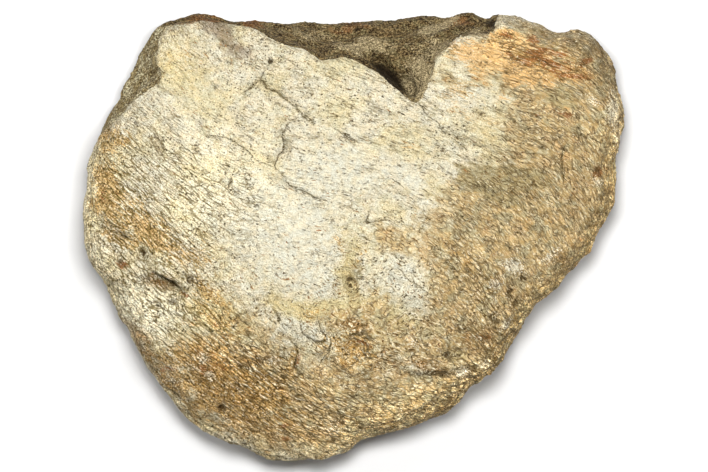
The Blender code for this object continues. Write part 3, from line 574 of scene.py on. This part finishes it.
def surfaceRelief(points, normals):
    # everything finer than the solid, as a rise along the normals, and masks for the finish
    lengths = boneSlab["lengths"]
    heights = boneSlab["heights"]
    x, y, flow, _, edge, breaks, rightSide = surfacePlaces(points, normals)
    broken = np.maximum(*breaks)
    facing = normals[:, 2]
    outer = softStep(-0.3, 0.3, facing) * (1 - broken)
    upward = softStep(0, 0.5, facing) * (1 - broken)
    under = softStep(0.2, 0.7, -facing)
    inset = edge[:, 1]
    rough = 1 - softStep(2, 16, inset + 3 * noiseAt(points, 9, 1))
    grain = np.clip(rough * 0.9 + rightSide * 0.45, 0, 1)

    strands = 1 - 2 * np.abs(noiseAt(flow, lengths["strands"], 2))
    cords = noiseAt(flow, lengths["cords"], 3)
    flakes = steppedShare(3 * noiseAt(flow, lengths["flakes"], 9))
    waves = noiseAt(points, 5, 4)
    poreGap, poreShare = cellsAt(flow, lengths["pores"], 5)
    pores = (1 - softStep(0.16, 0.42, poreGap)) * (poreShare > 0.1)
    crumbGap, crumbShare = cellsAt(points, lengths["crumbs"], 6)
    crumbs = (0.5 - crumbGap) * (0.6 + 0.8 * crumbShare)
    level = np.stack([x, y, flow[:, 2]], 1)
    layers = noiseAt(level, lengths["layers"], 7)
    thinLayers = noiseAt(level, lengths["thinLayers"], 8)

    cracked, recessShade, crackSide, crackShare = crackedRelief(points, x, y)
    stringy = patchShare(x, y, boneStains["stringy"])
    strandHeight = np.interp(stringy, (0, 1), heights["strands"])
    cordHeight = np.interp(stringy, (0, 1), heights["cords"])
    crumbHeight = np.interp(rightSide, (0, 1), heights["edgeCrumbs"])
    rise = outer * (strandHeight * strands + cordHeight * cords)
    rise += outer * (heights["flakes"] * flakes + heights["pores"] * pores)
    rise += outer * grain * (crumbHeight * crumbs + heights["edgeWaves"] * waves)
    rise += outer * rough * heights["strata"] * noiseAt(edge, lengths["strata"], 15)
    terrace = (inset + 3 * noiseAt(points, 9, 16)) / 4
    terraces = rightSide * (steppedShare(terrace) - terrace)
    rise += outer * rough * heights["terraces"] * terraces
    rise += (outer * rough + 0.8 * broken) * heights["grit"] * noiseAt(points, 1.1, 10)
    rise += heights["waves"] * waves + upward * cracked
    rise += broken * (heights["layers"] * layers + heights["thinLayers"] * thinLayers)
    rise += broken * heights["breakCrumbs"] * crumbs
    underStrands, underCords, underPores = heights["under"]
    rise += under * (underStrands * strands + underCords * cords + underPores * pores)
    masks = {"recessShade": recessShade * upward, "crackSide": crackSide, "crackShare": crackShare * upward}
    return rise, masks


def readVectors(items, name):
    values = np.zeros(len(items) * 3)
    items.foreach_get(name, values)
    return values.reshape(-1, 3)


def pointsAndNormals(mesh):
    return readVectors(mesh.vertices, "co") / mm, readVectors(mesh.vertex_normals, "vector")


def storeMasks(mesh, masks):
    # numbers or places, kept on the mesh's own points for the finish
    for name, values in masks.items():
        kind, key = ("FLOAT", "value") if values.ndim == 1 else ("FLOAT_VECTOR", "vector")
        layer = mesh.attributes.new(name, kind, "POINT")
        layer.data.foreach_set(key, values.astype(np.float32).ravel())


def newObject(name, data):
    made = bpy.data.objects.new(name, data)
    bpy.context.scene.collection.objects.link(made)
    return made


def applyModifiers(piece):
    depsgraph = bpy.context.evaluated_depsgraph_get()
    mesh = bpy.data.meshes.new_from_object(piece.evaluated_get(depsgraph))
    piece.modifiers.clear()
    piece.data = mesh
    return mesh


def denseCopy(node, name):
    # the solid's own surface in a new piece, with points evenly spaced all over it
    mesh = node.data.copy()
    mesh.transform(node.matrix_world)
    mesh.materials.clear()
    bm = bmesh.new()
    bm.from_mesh(mesh)
    bmesh.ops.remove_doubles(bm, verts=bm.verts, dist=0.001 * mm)
    bm.to_mesh(mesh)
    bm.free()
    piece = newObject(name, mesh)
    rounder = piece.modifiers.new("rounder", "SUBSURF")
    rounder.levels = boneSlab["subdivisions"]
    rounder.render_levels = boneSlab["subdivisions"]
    even = piece.modifiers.new("even", "REMESH")
    even.mode = "VOXEL"
    even.voxel_size = boneSlab["voxel"] * mm
    soft = piece.modifiers.new("soft", "SMOOTH")
    soft.iterations = boneSlab["smoothing"]
    applyModifiers(piece)
    return piece


def fewerTriangles(piece, wanted):
    triangles = sum(len(face.vertices) - 2 for face in piece.data.polygons)
    thin = piece.modifiers.new("thin", "DECIMATE")
    thin.ratio = min(1, wanted / triangles)
    applyModifiers(piece)
    print("slab triangles", triangles, "then", len(piece.data.polygons))


def makeSlab():
    piece = denseCopy(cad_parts[boneSlab["node"]], "fossil_bone_slab")
    mesh = piece.data
    print("slab points", len(mesh.vertices))
    points, normals = pointsAndNormals(mesh)
    rise, masks = surfaceRelief(points, normals)
    points = withBackFoot(points + normals * rise[:, None])
    points[:, 2] = np.maximum(points[:, 2], 0)
    mesh.vertices.foreach_set("co", (points * mm).ravel())
    mesh.update()
    storeMasks(mesh, masks)
    fewerTriangles(piece, boneSlab["triangles"])
    piece.data.shade_smooth()
    return piece


def storeFinishMasks(mesh):
    # what the finish needs to know of each place
    points, normals = pointsAndNormals(mesh)
    x, y, flow, spacing, edge, breaks, rightSide = surfacePlaces(points, normals)
    masks = {
        "spacing": spacing,
        "boneFlow": flow,
        "backBreak": breaks[0],
        "leftBreak": breaks[1],
        "front": 1 - softStep(35, 65, y),
        "crumbly": rightSide,
        # share of painted shade where the surface faces down
        "paintedUndersideShade": softStep(0.1, 0.5, -normals[:, 2]),
        "inset": edge[:, 1],
        "edgeFlow": edge,
    }
    broadX = 2.4 * noiseAt(points, 8, 11)
    broadY = 2.4 * noiseAt(points, 8, 13)
    fineX = noiseAt(points, 3, 12)
    fineY = noiseAt(points, 3, 14)
    sharp = (x + 0.6 * fineX, y + 0.6 * fineY)
    ragged = (x + broadX + 1.2 * fineX, y + broadY + 1.2 * fineY)
    for name, patches in boneStains.items():
        places = sharp if name in boneSlab["sharpStains"] else ragged
        masks[name] = patchShare(*places, patches)
    storeMasks(mesh, masks)


# Node maths: one class wraps a socket, so that shader maths reads as plain Python

class Wire:
    tree = None         # the node tree that is being built

    def __init__(self, socket):
        self.socket = socket

    @classmethod
    def node(cls, kind, settings, inputs, output=0):
        made = cls.tree.nodes.new(kind)
        for name, value in settings.items():
            setattr(made, name, value)
        for name, value in inputs.items():
            if isinstance(value, Wire):
                cls.tree.links.new(value.socket, made.inputs[name])
            else:
                made.inputs[name].default_value = value
        return cls(made.outputs[output])

    @classmethod
    def maths(cls, operation, first, second):
        return cls.node("ShaderNodeMath", {"operation": operation}, {0: first, 1: second})

    def __add__(self, other):
        return self.maths("ADD", self, other)

    def __sub__(self, other):
        return self.maths("SUBTRACT", self, other)

    def __rsub__(self, other):
        return self.maths("SUBTRACT", other, self)

    def __mul__(self, other):
        return self.maths("MULTIPLY", self, other)

    __radd__ = __add__
    __rmul__ = __mul__

    def __abs__(self):
        return self.maths("ABSOLUTE", self, 0)

    def range(self, low, high):
        # 0 below low, 1 above high and smooth between
        return self.node("ShaderNodeMapRange", {"interpolation_type": "SMOOTHSTEP"},
                         {"Value": self, "From Min": low, "From Max": high})


def rgb(red, green, blue):
    # a colour as seen on a screen, 0 to 255, as the numbers that a shader takes
    def linear(value):
        value = value / 255
        return value / 12.92 if value <= 0.04045 else ((value + 0.055) / 1.055) ** 2.4
    return (linear(red), linear(green), linear(blue), 1)


def value(name, output="Fac"):
    # what is stored under the name on the mesh's points
    return Wire.node("ShaderNodeAttribute", {"attribute_name": name}, {}, output)


def blend(factor, first, second, way="MIX"):
    return Wire.node("ShaderNodeMix", {"data_type": "RGBA", "blend_type": way, "clamp_factor": True},
                     {0: factor, 6: first, 7: second}, 2)


def coated(colour, coats):
    # the colour under coats of other colours, each with the share that it covers
    for share, coat in coats:
        colour = blend(share, colour, coat)
    return colour


def toned(colour, share, factor, low, high):
    # the colour times a tone that runs from low to high with the factor
    return blend(share, colour, blend(factor, (*low, 1), (*high, 1)), "MULTIPLY")


def stretched(vector, lengths):
    # the vector measured in the given lengths along its three axes
    return Wire.node("ShaderNodeVectorMath", {"operation": "DIVIDE"}, {0: vector, 1: lengths})


def grainNoise(vector, lengths, detail=1, roughness=0.5, output="Fac"):
    return Wire.node("ShaderNodeTexNoise", {}, {"Vector": stretched(vector, lengths), "Scale": 1,
                                                "Detail": detail, "Roughness": roughness}, output)


def shifted(vector, place, pitch, reach):
    # the vector moved to and fro by smooth noise, so that lines drawn with it waver
    shake = grainNoise(place, (pitch, pitch, pitch), output="Color")
    return Wire.node("ShaderNodeVectorMath", {"operation": "MULTIPLY_ADD"},
                     {0: shake, 1: (reach, reach, reach), 2: vector})


def cells(vector, output="Distance", feature="F1"):
    return Wire.node("ShaderNodeTexVoronoi", {"feature": feature}, {"Vector": vector, "Scale": 1},
                     output)


def cellEdges(vector):
    # how far each place is from the edge of its cell
    return cells(vector, feature="DISTANCE_TO_EDGE")


def cellShare(vector):
    # a random number, 0 to 1, for each cell
    return Wire.node("ShaderNodeSeparateColor", {}, {0: cells(vector, "Color")}, 0)


def pickedCells(vector, size, share):
    # dots as large as size in cells of length 1, in a share of the cells
    inside = 1 - cells(vector).range(size * 0.45, size)
    return inside * cellShare(vector).range(1 - share, 1.02 - share)


# Fossil bone finish: cream to tan fibres, stains, dark pores and broken faces

boneFinish = {
    "cream": rgb(217, 209, 185),
    "creamYellow": rgb(214, 203, 167),
    "creamOlive": rgb(202, 195, 163),
    "pale": rgb(217, 212, 191),
    "straw": rgb(198, 180, 126),
    "tan": rgb(204, 182, 139),
    "tanDark": rgb(178, 153, 106),
    "tanRose": rgb(192, 162, 122),
    "tanGrey": rgb(168, 160, 128),
    "tanPale": rgb(222, 208, 172),
    "ochre": rgb(177, 137, 73),
    "ochreBright": rgb(212, 178, 118),
    "apricot": rgb(226, 185, 127),
    "rust": rgb(150, 96, 54),
    "olive": rgb(158, 145, 106),
    "brown": rgb(168, 128, 76),
    "brownDark": rgb(106, 80, 44),
    "white": rgb(232, 226, 208),
    "ridge": rgb(236, 227, 200),
    "violet": rgb(128, 108, 88),
    "gap": rgb(122, 104, 54),
    "gapTan": rgb(90, 69, 33),
    "pore": rgb(72, 56, 22),
    # painted shade in cracks, pits and at the foot of ledges
    "recessShade": rgb(78, 60, 30),
    "slate": rgb(98, 86, 64),
    # painted shade: the thin dark line along each crack
    "crackShadeLine": rgb(104, 90, 50),
    "breakBrown": rgb(122, 104, 70),
    "breakDark": rgb(50, 37, 18),
    "breakPale": rgb(170, 156, 122),
    "breakRust": rgb(128, 84, 46),
    "breakOlive": rgb(128, 118, 84),
    # painted shade in the deep pockets of the broken face
    "hollow": rgb(30, 22, 12),
    "leftOlive": rgb(150, 136, 98),
    "leftFilm": rgb(198, 192, 162),
    # painted shade on the faces that turn down under the rim
    "under": rgb(116, 98, 66),
    "longStrand": (8, 0.45, 0.45),
    "shortStrand": (2, 0.48, 0.48),
    "fineStrand": (3, 0.25, 0.5),       # where the fibres' own measure is stretched
    "fleck": (2.4, 0.38, 0.38),
    "curl": (6, 1.1, 1.1),
    "web": (8, 1, 1),
    "grit": (0.5, 0.45, 0.45),
    "strata": (4.5, 0.55, 0.6),         # along the edge, in from it and up
    "paintedRimLight": (1.32, 1.29, 1.2, 1),    # painted light: the colour is multiplied by this on the front rim
    "paintedLightLift": (1.9, 1.86, 1.74, 1),  # and by this in the patches of painted light
    "roughness": (0.62, 0.9),               # in the gaps and on the strands
    "specular": 0.12,
    "bumpHeight": 0.7,
    "bumpStrength": 0.9,
}


def newMaterial(name):
    material = bpy.data.materials.new(name)
    material.use_nodes = True
    return material, material.node_tree.nodes["Principled BSDF"]


def outerColour(flow, place):
    f = boneFinish
    stringy = value("stringy")
    smooth = value("smooth")
    margin = 1 - value("inset").range(1, 13)
    straight = shifted(flow, place, 9, 2)
    shaken = shifted(flow, place, 5, 2)
    frayed = shifted(shaken, place, 1.2, 0.35)
    even = value("spacing").range(0.5, 0.8)
    longStrand = grainNoise(straight, f["longStrand"])
    shortStrand = grainNoise(frayed, f["shortStrand"])
    fineStrand = grainNoise(frayed, f["fineStrand"])
    shortStrand = fineStrand + (shortStrand - fineStrand) * even
    strand = shortStrand + (longStrand - shortStrand) * even * (0.4 + 0.5 * stringy - 0.3 * margin)
    edgeFlow = value("edgeFlow", "Vector")
    strata = grainNoise(shifted(edgeFlow, place, 3.5, 1.6), f["strata"])
    strand = strand + (strata - strand) * margin * 0.65
    flecks = grainNoise(frayed, f["fleck"])
    grit = grainNoise(place, f["grit"])
    mottle = grainNoise(flow, (3.2, 1.8, 1.8), 2, 0.6)
    clumps = grainNoise(shaken, (5.5, 3, 3))
    blotches = grainNoise(place, (4.5, 4.5, 4.5), 2, 0.6)
    broad = grainNoise(place, (14, 14, 14), 2, 0.5)

    tan = value("tan") - 0.6 * value("pale") + 0.9 * mottle + 0.5 * blotches - 0.7
    tan = tan.range(0.25, 0.75)
    tanTone = coated(blend(mottle.range(0.38, 0.6), f["tanDark"], f["tan"]), [
        (blotches.range(0.54, 0.64) * 0.4, f["tanRose"]),
        ((1 - blotches.range(0.38, 0.48)) * 0.7, f["tanGrey"]),
        (flecks.range(0.54, 0.66) * (mottle + 0.2), f["tanPale"]),
    ])
    brown = (value("brown") + 0.8 * mottle - 0.45).range(0.2, 0.8)
    brownTone = blend(mottle.range(0.4, 0.6), f["brownDark"], f["brown"])
    brownTone = blend(flecks.range(0.54, 0.64) * 0.75, brownTone, f["tanPale"])
    # the stains sit deepest in the gaps between strands
    seep = 1.8 * (0.5 - strand) + 1.2 * (flecks - 0.5) + (blotches - 0.5)
    ochreTone = blend(flecks.range(0.38, 0.6), f["ochre"], f["ochreBright"])
    white = (value("white") + 3 * (grit - 0.5)).range(0.5, 0.7)
    ridges = (strand + 0.5 * flecks).range(0.8, 0.95) * (stringy * 0.55 + tan * 0.2 + brown * 0.2)
    slate = (value("slate") + 2 * (0.5 - flecks)).range(0.4, 0.6)
    colour = coated(blend(broad.range(0.42, 0.66), f["cream"], f["creamYellow"]), [
        (blotches.range(0.52, 0.62) * 0.5, f["creamOlive"]),
        ((value("pale") + 0.5 * mottle - 0.25).range(0.2, 0.8), f["pale"]),
        ((value("straw") + 0.8 * mottle - 0.4).range(0.2, 0.9) * 0.8, f["straw"]),
        (tan, tanTone),
        (brown * 0.8, brownTone),
        ((value("olive") + 0.8 * mottle - 0.4).range(0.35, 0.55) * 0.75, f["olive"]),
        ((value("violet") + 0.8 * mottle - 0.45).range(0.2, 0.8) * 0.7, f["violet"]),
        ((value("apricot") + 0.8 * seep).range(0.3, 0.8) * 0.9, f["apricot"]),
        ((value("ochre") + seep).range(0.35, 0.75) * 0.85, ochreTone),
        ((value("rust") + seep).range(0.35, 0.6) * 0.85, f["rust"]),
        (white * (0.75 - 0.3 * value("brown")), f["white"]),
        (ridges, f["ridge"]),
        (slate * 0.8, f["slate"]),
    ])
    tints = grainNoise(place, (2.6, 2.6, 2.6), 3, 0.6)
    colour = toned(colour, 1, tints.range(0.36, 0.64), (1.03, 0.99, 0.92), (0.97, 1, 1.03))

    toneShare = 0.55 + 0.3 * stringy + 0.35 * tan - 0.3 * smooth
    colour = toned(colour, toneShare, strand.range(0.32, 0.62), (0.8, 0.77, 0.7), (1.05, 1.05, 1.05))
    # painted light on the front rim, where the steep margin slopes away from the lamps
    paintedRimShare = (1 - value("inset").range(0.5, 7)) * value("front")
    colour = blend(paintedRimShare * (0.4 + 0.6 * value("crumbly")), colour, f["paintedRimLight"], "MULTIPLY")
    # painted light in the listed patches
    colour = blend(value("paintedLightPatches"), colour, f["paintedLightLift"], "MULTIPLY")

    dark = blend(tan, f["gap"], f["gapTan"])
    curled = stretched(shifted(shaken, place, 3, 2.4), f["curl"])
    toneShare = 0.2 + 0.65 * tan - 0.2 * smooth
    colour = toned(colour, toneShare, cellShare(curled), (0.95, 0.94, 0.9), (1.25, 1.25, 1.24))
    curls = (1 - cellEdges(curled).range(0.03, 0.12)) * (0.7 * mottle + 0.3 * grit).range(0.38, 0.54)
    colour = blend(curls * (0.1 + 0.6 * tan), colour, dark)
    deep = 0.285 + 0.12 * clumps + 0.05 * stringy - 0.05 * smooth - 0.01 * tan + 0.02 * margin
    marks = (deep - strand).range(-0.01, 0.05)
    markShare = 0.6 + 0.25 * stringy - 0.1 * tan - 0.2 * smooth + 0.2 * margin
    colour = blend(marks * markShare, colour, dark)
    web = cellEdges(stretched(straight, f["web"]))
    split = (clumps + 0.3 * stringy + 0.06 * tan - 0.15 * smooth).range(0.44, 0.62) * even
    gaps = (1 - web.range(0.02, 0.09)) * split
    colour = blend(gaps * (0.5 + 0.45 * stringy), colour, dark)
    dashes = pickedCells(stretched(frayed, (3.6, 0.9, 0.9)), 0.36, 0.4)
    dashes = dashes * (clumps + 0.1 - 0.1 * smooth).range(0.48, 0.6)
    dots = pickedCells(stretched(frayed, (1.1, 0.85, 0.85)), 0.38, 0.5)
    dotted = (mottle + 0.14 * value("porous") + 0.08 * margin).range(0.47, 0.54)
    dots = dots * dotted * (1 - 0.5 * smooth)
    colour = blend(dashes * (0.55 - 0.2 * tan), colour, f["pore"])
    colour = blend(dots * (0.9 - 0.2 * tan), colour, f["pore"])
    crumbs = cells(stretched(place, (1.3, 1.3, 1.1))).range(0.4, 0.66)
    crumbs = crumbs * (0.1 + 0.5 * margin * value("crumbly"))
    colour = blend(crumbs * 0.7, colour, f["gapTan"])
    chunks = cells(stretched(shaken, (2.6, 2.2, 2.2))).range(0.42, 0.6)
    colour = blend(chunks * margin * (0.3 + 0.25 * value("crumbly")), colour, f["gapTan"])
    # painted shade in the cracks, pits and at the foot of ledges
    recessShade = (value("recessShade") + 2.2 * (0.5 - flecks)).range(0.35, 0.6)
    colour = blend(recessShade * 0.85, colour, f["recessShade"])
    # painted shade: a thin dark line along each crack, broken up by the mottle
    crackShadeLine = 1 - abs(value("crackSide") + 5 * (flecks - 0.5)).range(0.25, 0.75)
    crackLineShown = (0.5 * mottle + 0.5 * blotches).range(0.32, 0.46)
    crackShadeLine = crackShadeLine * value("crackShare").range(0.3, 0.6) * crackLineShown
    colour = blend(crackShadeLine * 0.75, colour, f["crackShadeLine"])
    gritShare = 0.5 - 0.25 * tan + 0.4 * margin + 0.3 * brown + 0.4 * value("ochre")
    gritShare = gritShare + 0.3 * stringy - 0.25 * smooth
    colour = toned(colour, gritShare, grit.range(0.3, 0.6), (0.32, 0.27, 0.18), (1.22, 1.23, 1.26))
    height = 0.7 * strand + 0.4 * grit - 0.35 * marks - 0.3 * gaps - 0.4 * dashes - 0.5 * dots
    height = height - 0.5 * crumbs - 0.5 * crackShadeLine - 0.25 * curls
    return colour, height


def brokenColour(flow, place):
    f = boneFinish
    layered = grainNoise(flow, (7, 7, 0.8), 2, 0.6)
    grain = grainNoise(place, (0.9, 0.7, 0.6), 2, 0.65)
    specks = grainNoise(place, (0.7, 0.45, 0.45))
    grit = grainNoise(place, f["grit"])
    film = grainNoise(place, (5, 5, 4), 2, 0.6)
    stains = grainNoise(place, (3, 2.2, 2.2), 2, 0.6)
    body = (0.35 * layered + 0.65 * grain).range(0.4, 0.58)
    back = blend(body, f["breakDark"], f["breakBrown"])
    back = blend(stains.range(0.52, 0.62) * 0.6, back, f["breakOlive"])
    back = blend((value("breakStain") + 1.2 * stains - 0.6).range(0.3, 0.7) * 0.6, back, f["breakRust"])
    filmed = (value("breakFilm") + 0.9 * film + 1.6 * specks - 1.25).range(0.2, 0.5)
    back = blend(filmed * 0.8, back, f["breakPale"])
    left = blend(body, f["breakBrown"], f["leftOlive"])
    left = blend(film.range(0.45, 0.62) * grain.range(0.35, 0.6) * 0.8, left, f["leftFilm"])
    colour = blend(value("leftBreak"), back, left)
    colour = toned(colour, 1, grain.range(0.32, 0.68), (0.55, 0.52, 0.46), (1.2, 1.2, 1.2))
    colour = toned(colour, 0.95, grit.range(0.3, 0.7), (0.34, 0.31, 0.24), (1.6, 1.6, 1.62))
    pits = pickedCells(stretched(place, (1.2, 1.2, 1.2)), 0.36, 0.5)
    colour = blend(pits * 0.7, colour, f["breakDark"])
    # painted shade: near-black in the deep pockets of the broken face
    colour = blend(value("hollow").range(0.2, 0.8) * 0.9, colour, f["hollow"])
    height = 0.2 * layered + 0.8 * grain + 0.6 * grit - 0.5 * pits
    return colour, height


def boneMaterial():
    material, shader = newMaterial("fossil_bone")
    Wire.tree = material.node_tree
    flow = value("boneFlow", "Vector")
    metres = Wire.node("ShaderNodeTexCoord", {}, {}, "Object")
    place = stretched(metres, (mm, mm, mm))
    outer, outerHeight = outerColour(flow, place)
    broken, brokenHeight = brokenColour(flow, place)
    share = (value("backBreak") + value("leftBreak")).range(0.3, 0.7)
    colour = blend(share, outer, broken)
    # painted shade: darker colour where the surface faces down, under the slab's rim
    colour = blend(value("paintedUndersideShade") * 0.75, colour, boneFinish["under"])
    height = outerHeight + share * (brokenHeight - outerHeight)
    low, high = boneFinish["roughness"]
    roughness = low + (high - low) * outerHeight.range(0.2, 0.7)
    bump = Wire.node("ShaderNodeBump", {}, {"Height": height, "Strength": boneFinish["bumpStrength"],
                                            "Distance": boneFinish["bumpHeight"] * mm})
    for name, wire in (("Base Color", colour), ("Roughness", roughness), ("Normal", bump)):
        Wire.tree.links.new(wire.socket, shader.inputs[name])
    shader.inputs["Specular IOR Level"].default_value = boneFinish["specular"]
    return material


# Floor, lights and camera

floorPlan = {
    "half": 6000,
    "drop": 0.1,        # just under the slab's resting patch
    "colour": rgb(238, 238, 238),
    "roughness": 0.9,
    "specular": 0.1,
}

studioLights = {
    # name: place, size of the square panel and power in watts; each looks at the slab
    "panels": {
        "keyPanel": ((-60, 420, 1700), 300, 6.6),
        "topPanel": ((12, 82, 600), 160, 2.7),
        "leftPanel": ((-740, 300, 560), 300, 3.3),
        "rightPanel": ((740, 280, 560), 300, 3.1),
    },
    "skyStrength": 0.12,
}

photoCamera = {
    "lens": 300,            # a long lens, as the photograph shows hardly any perspective
    "frameWidth": 249.2,    # width of the picture at the slab's widest level
    "widestLevel": 14,
    "aim": (0.2, 0.2),
}


def makeFloor():
    half = floorPlan["half"] * mm
    drop = -floorPlan["drop"] * mm
    mesh = bpy.data.meshes.new("studio_floor")
    mesh.from_pydata([(-half, -half, drop), (half, -half, drop), (half, half, drop),
                      (-half, half, drop)], [], [(0, 1, 2, 3)])
    material, shader = newMaterial("studio_floor")
    shader.inputs["Base Color"].default_value = floorPlan["colour"]
    shader.inputs["Roughness"].default_value = floorPlan["roughness"]
    shader.inputs["Specular IOR Level"].default_value = floorPlan["specular"]
    mesh.materials.append(material)
    newObject("studio_floor", mesh)


def makeLights():
    for name, (place, size, power) in studioLights["panels"].items():
        lamp = bpy.data.lights.new(name, "AREA")
        lamp.shape = "SQUARE"
        lamp.size = size * mm
        lamp.energy = power
        panel = newObject(name, lamp)
        panel.location = [length * mm for length in place]
        panel.visible_camera = False
        panel.rotation_mode = "QUATERNION"
        panel.rotation_quaternion = panel.location.to_track_quat("Z", "Y")
    world = bpy.data.worlds.new("studio")
    world.use_nodes = True
    sky = world.node_tree.nodes["Background"]
    sky.inputs["Color"].default_value = (1, 1, 1, 1)
    sky.inputs["Strength"].default_value = studioLights["skyStrength"]
    bpy.context.scene.world = world


def makeCamera():
    view = bpy.data.cameras.new("photo_camera")
    view.sensor_width = 36
    view.lens = photoCamera["lens"]
    distance = view.lens / view.sensor_width * photoCamera["frameWidth"] + photoCamera["widestLevel"]
    view.clip_start = 0.1
    view.clip_end = 20
    camera = newObject("photo_camera", view)
    camera.location = (photoCamera["aim"][0] * mm, photoCamera["aim"][1] * mm, distance * mm)
    bpy.context.scene.camera = camera


makeCamera()
makeFloor()
makeLights()
bpy.context.scene.view_settings.view_transform = "Standard"
print("studio ready")

slab = makeSlab()
storeFinishMasks(slab.data)
slab.data.materials.append(boneMaterial())
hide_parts(boneSlab["node"])
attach(slab, "root")
print("slab ready")
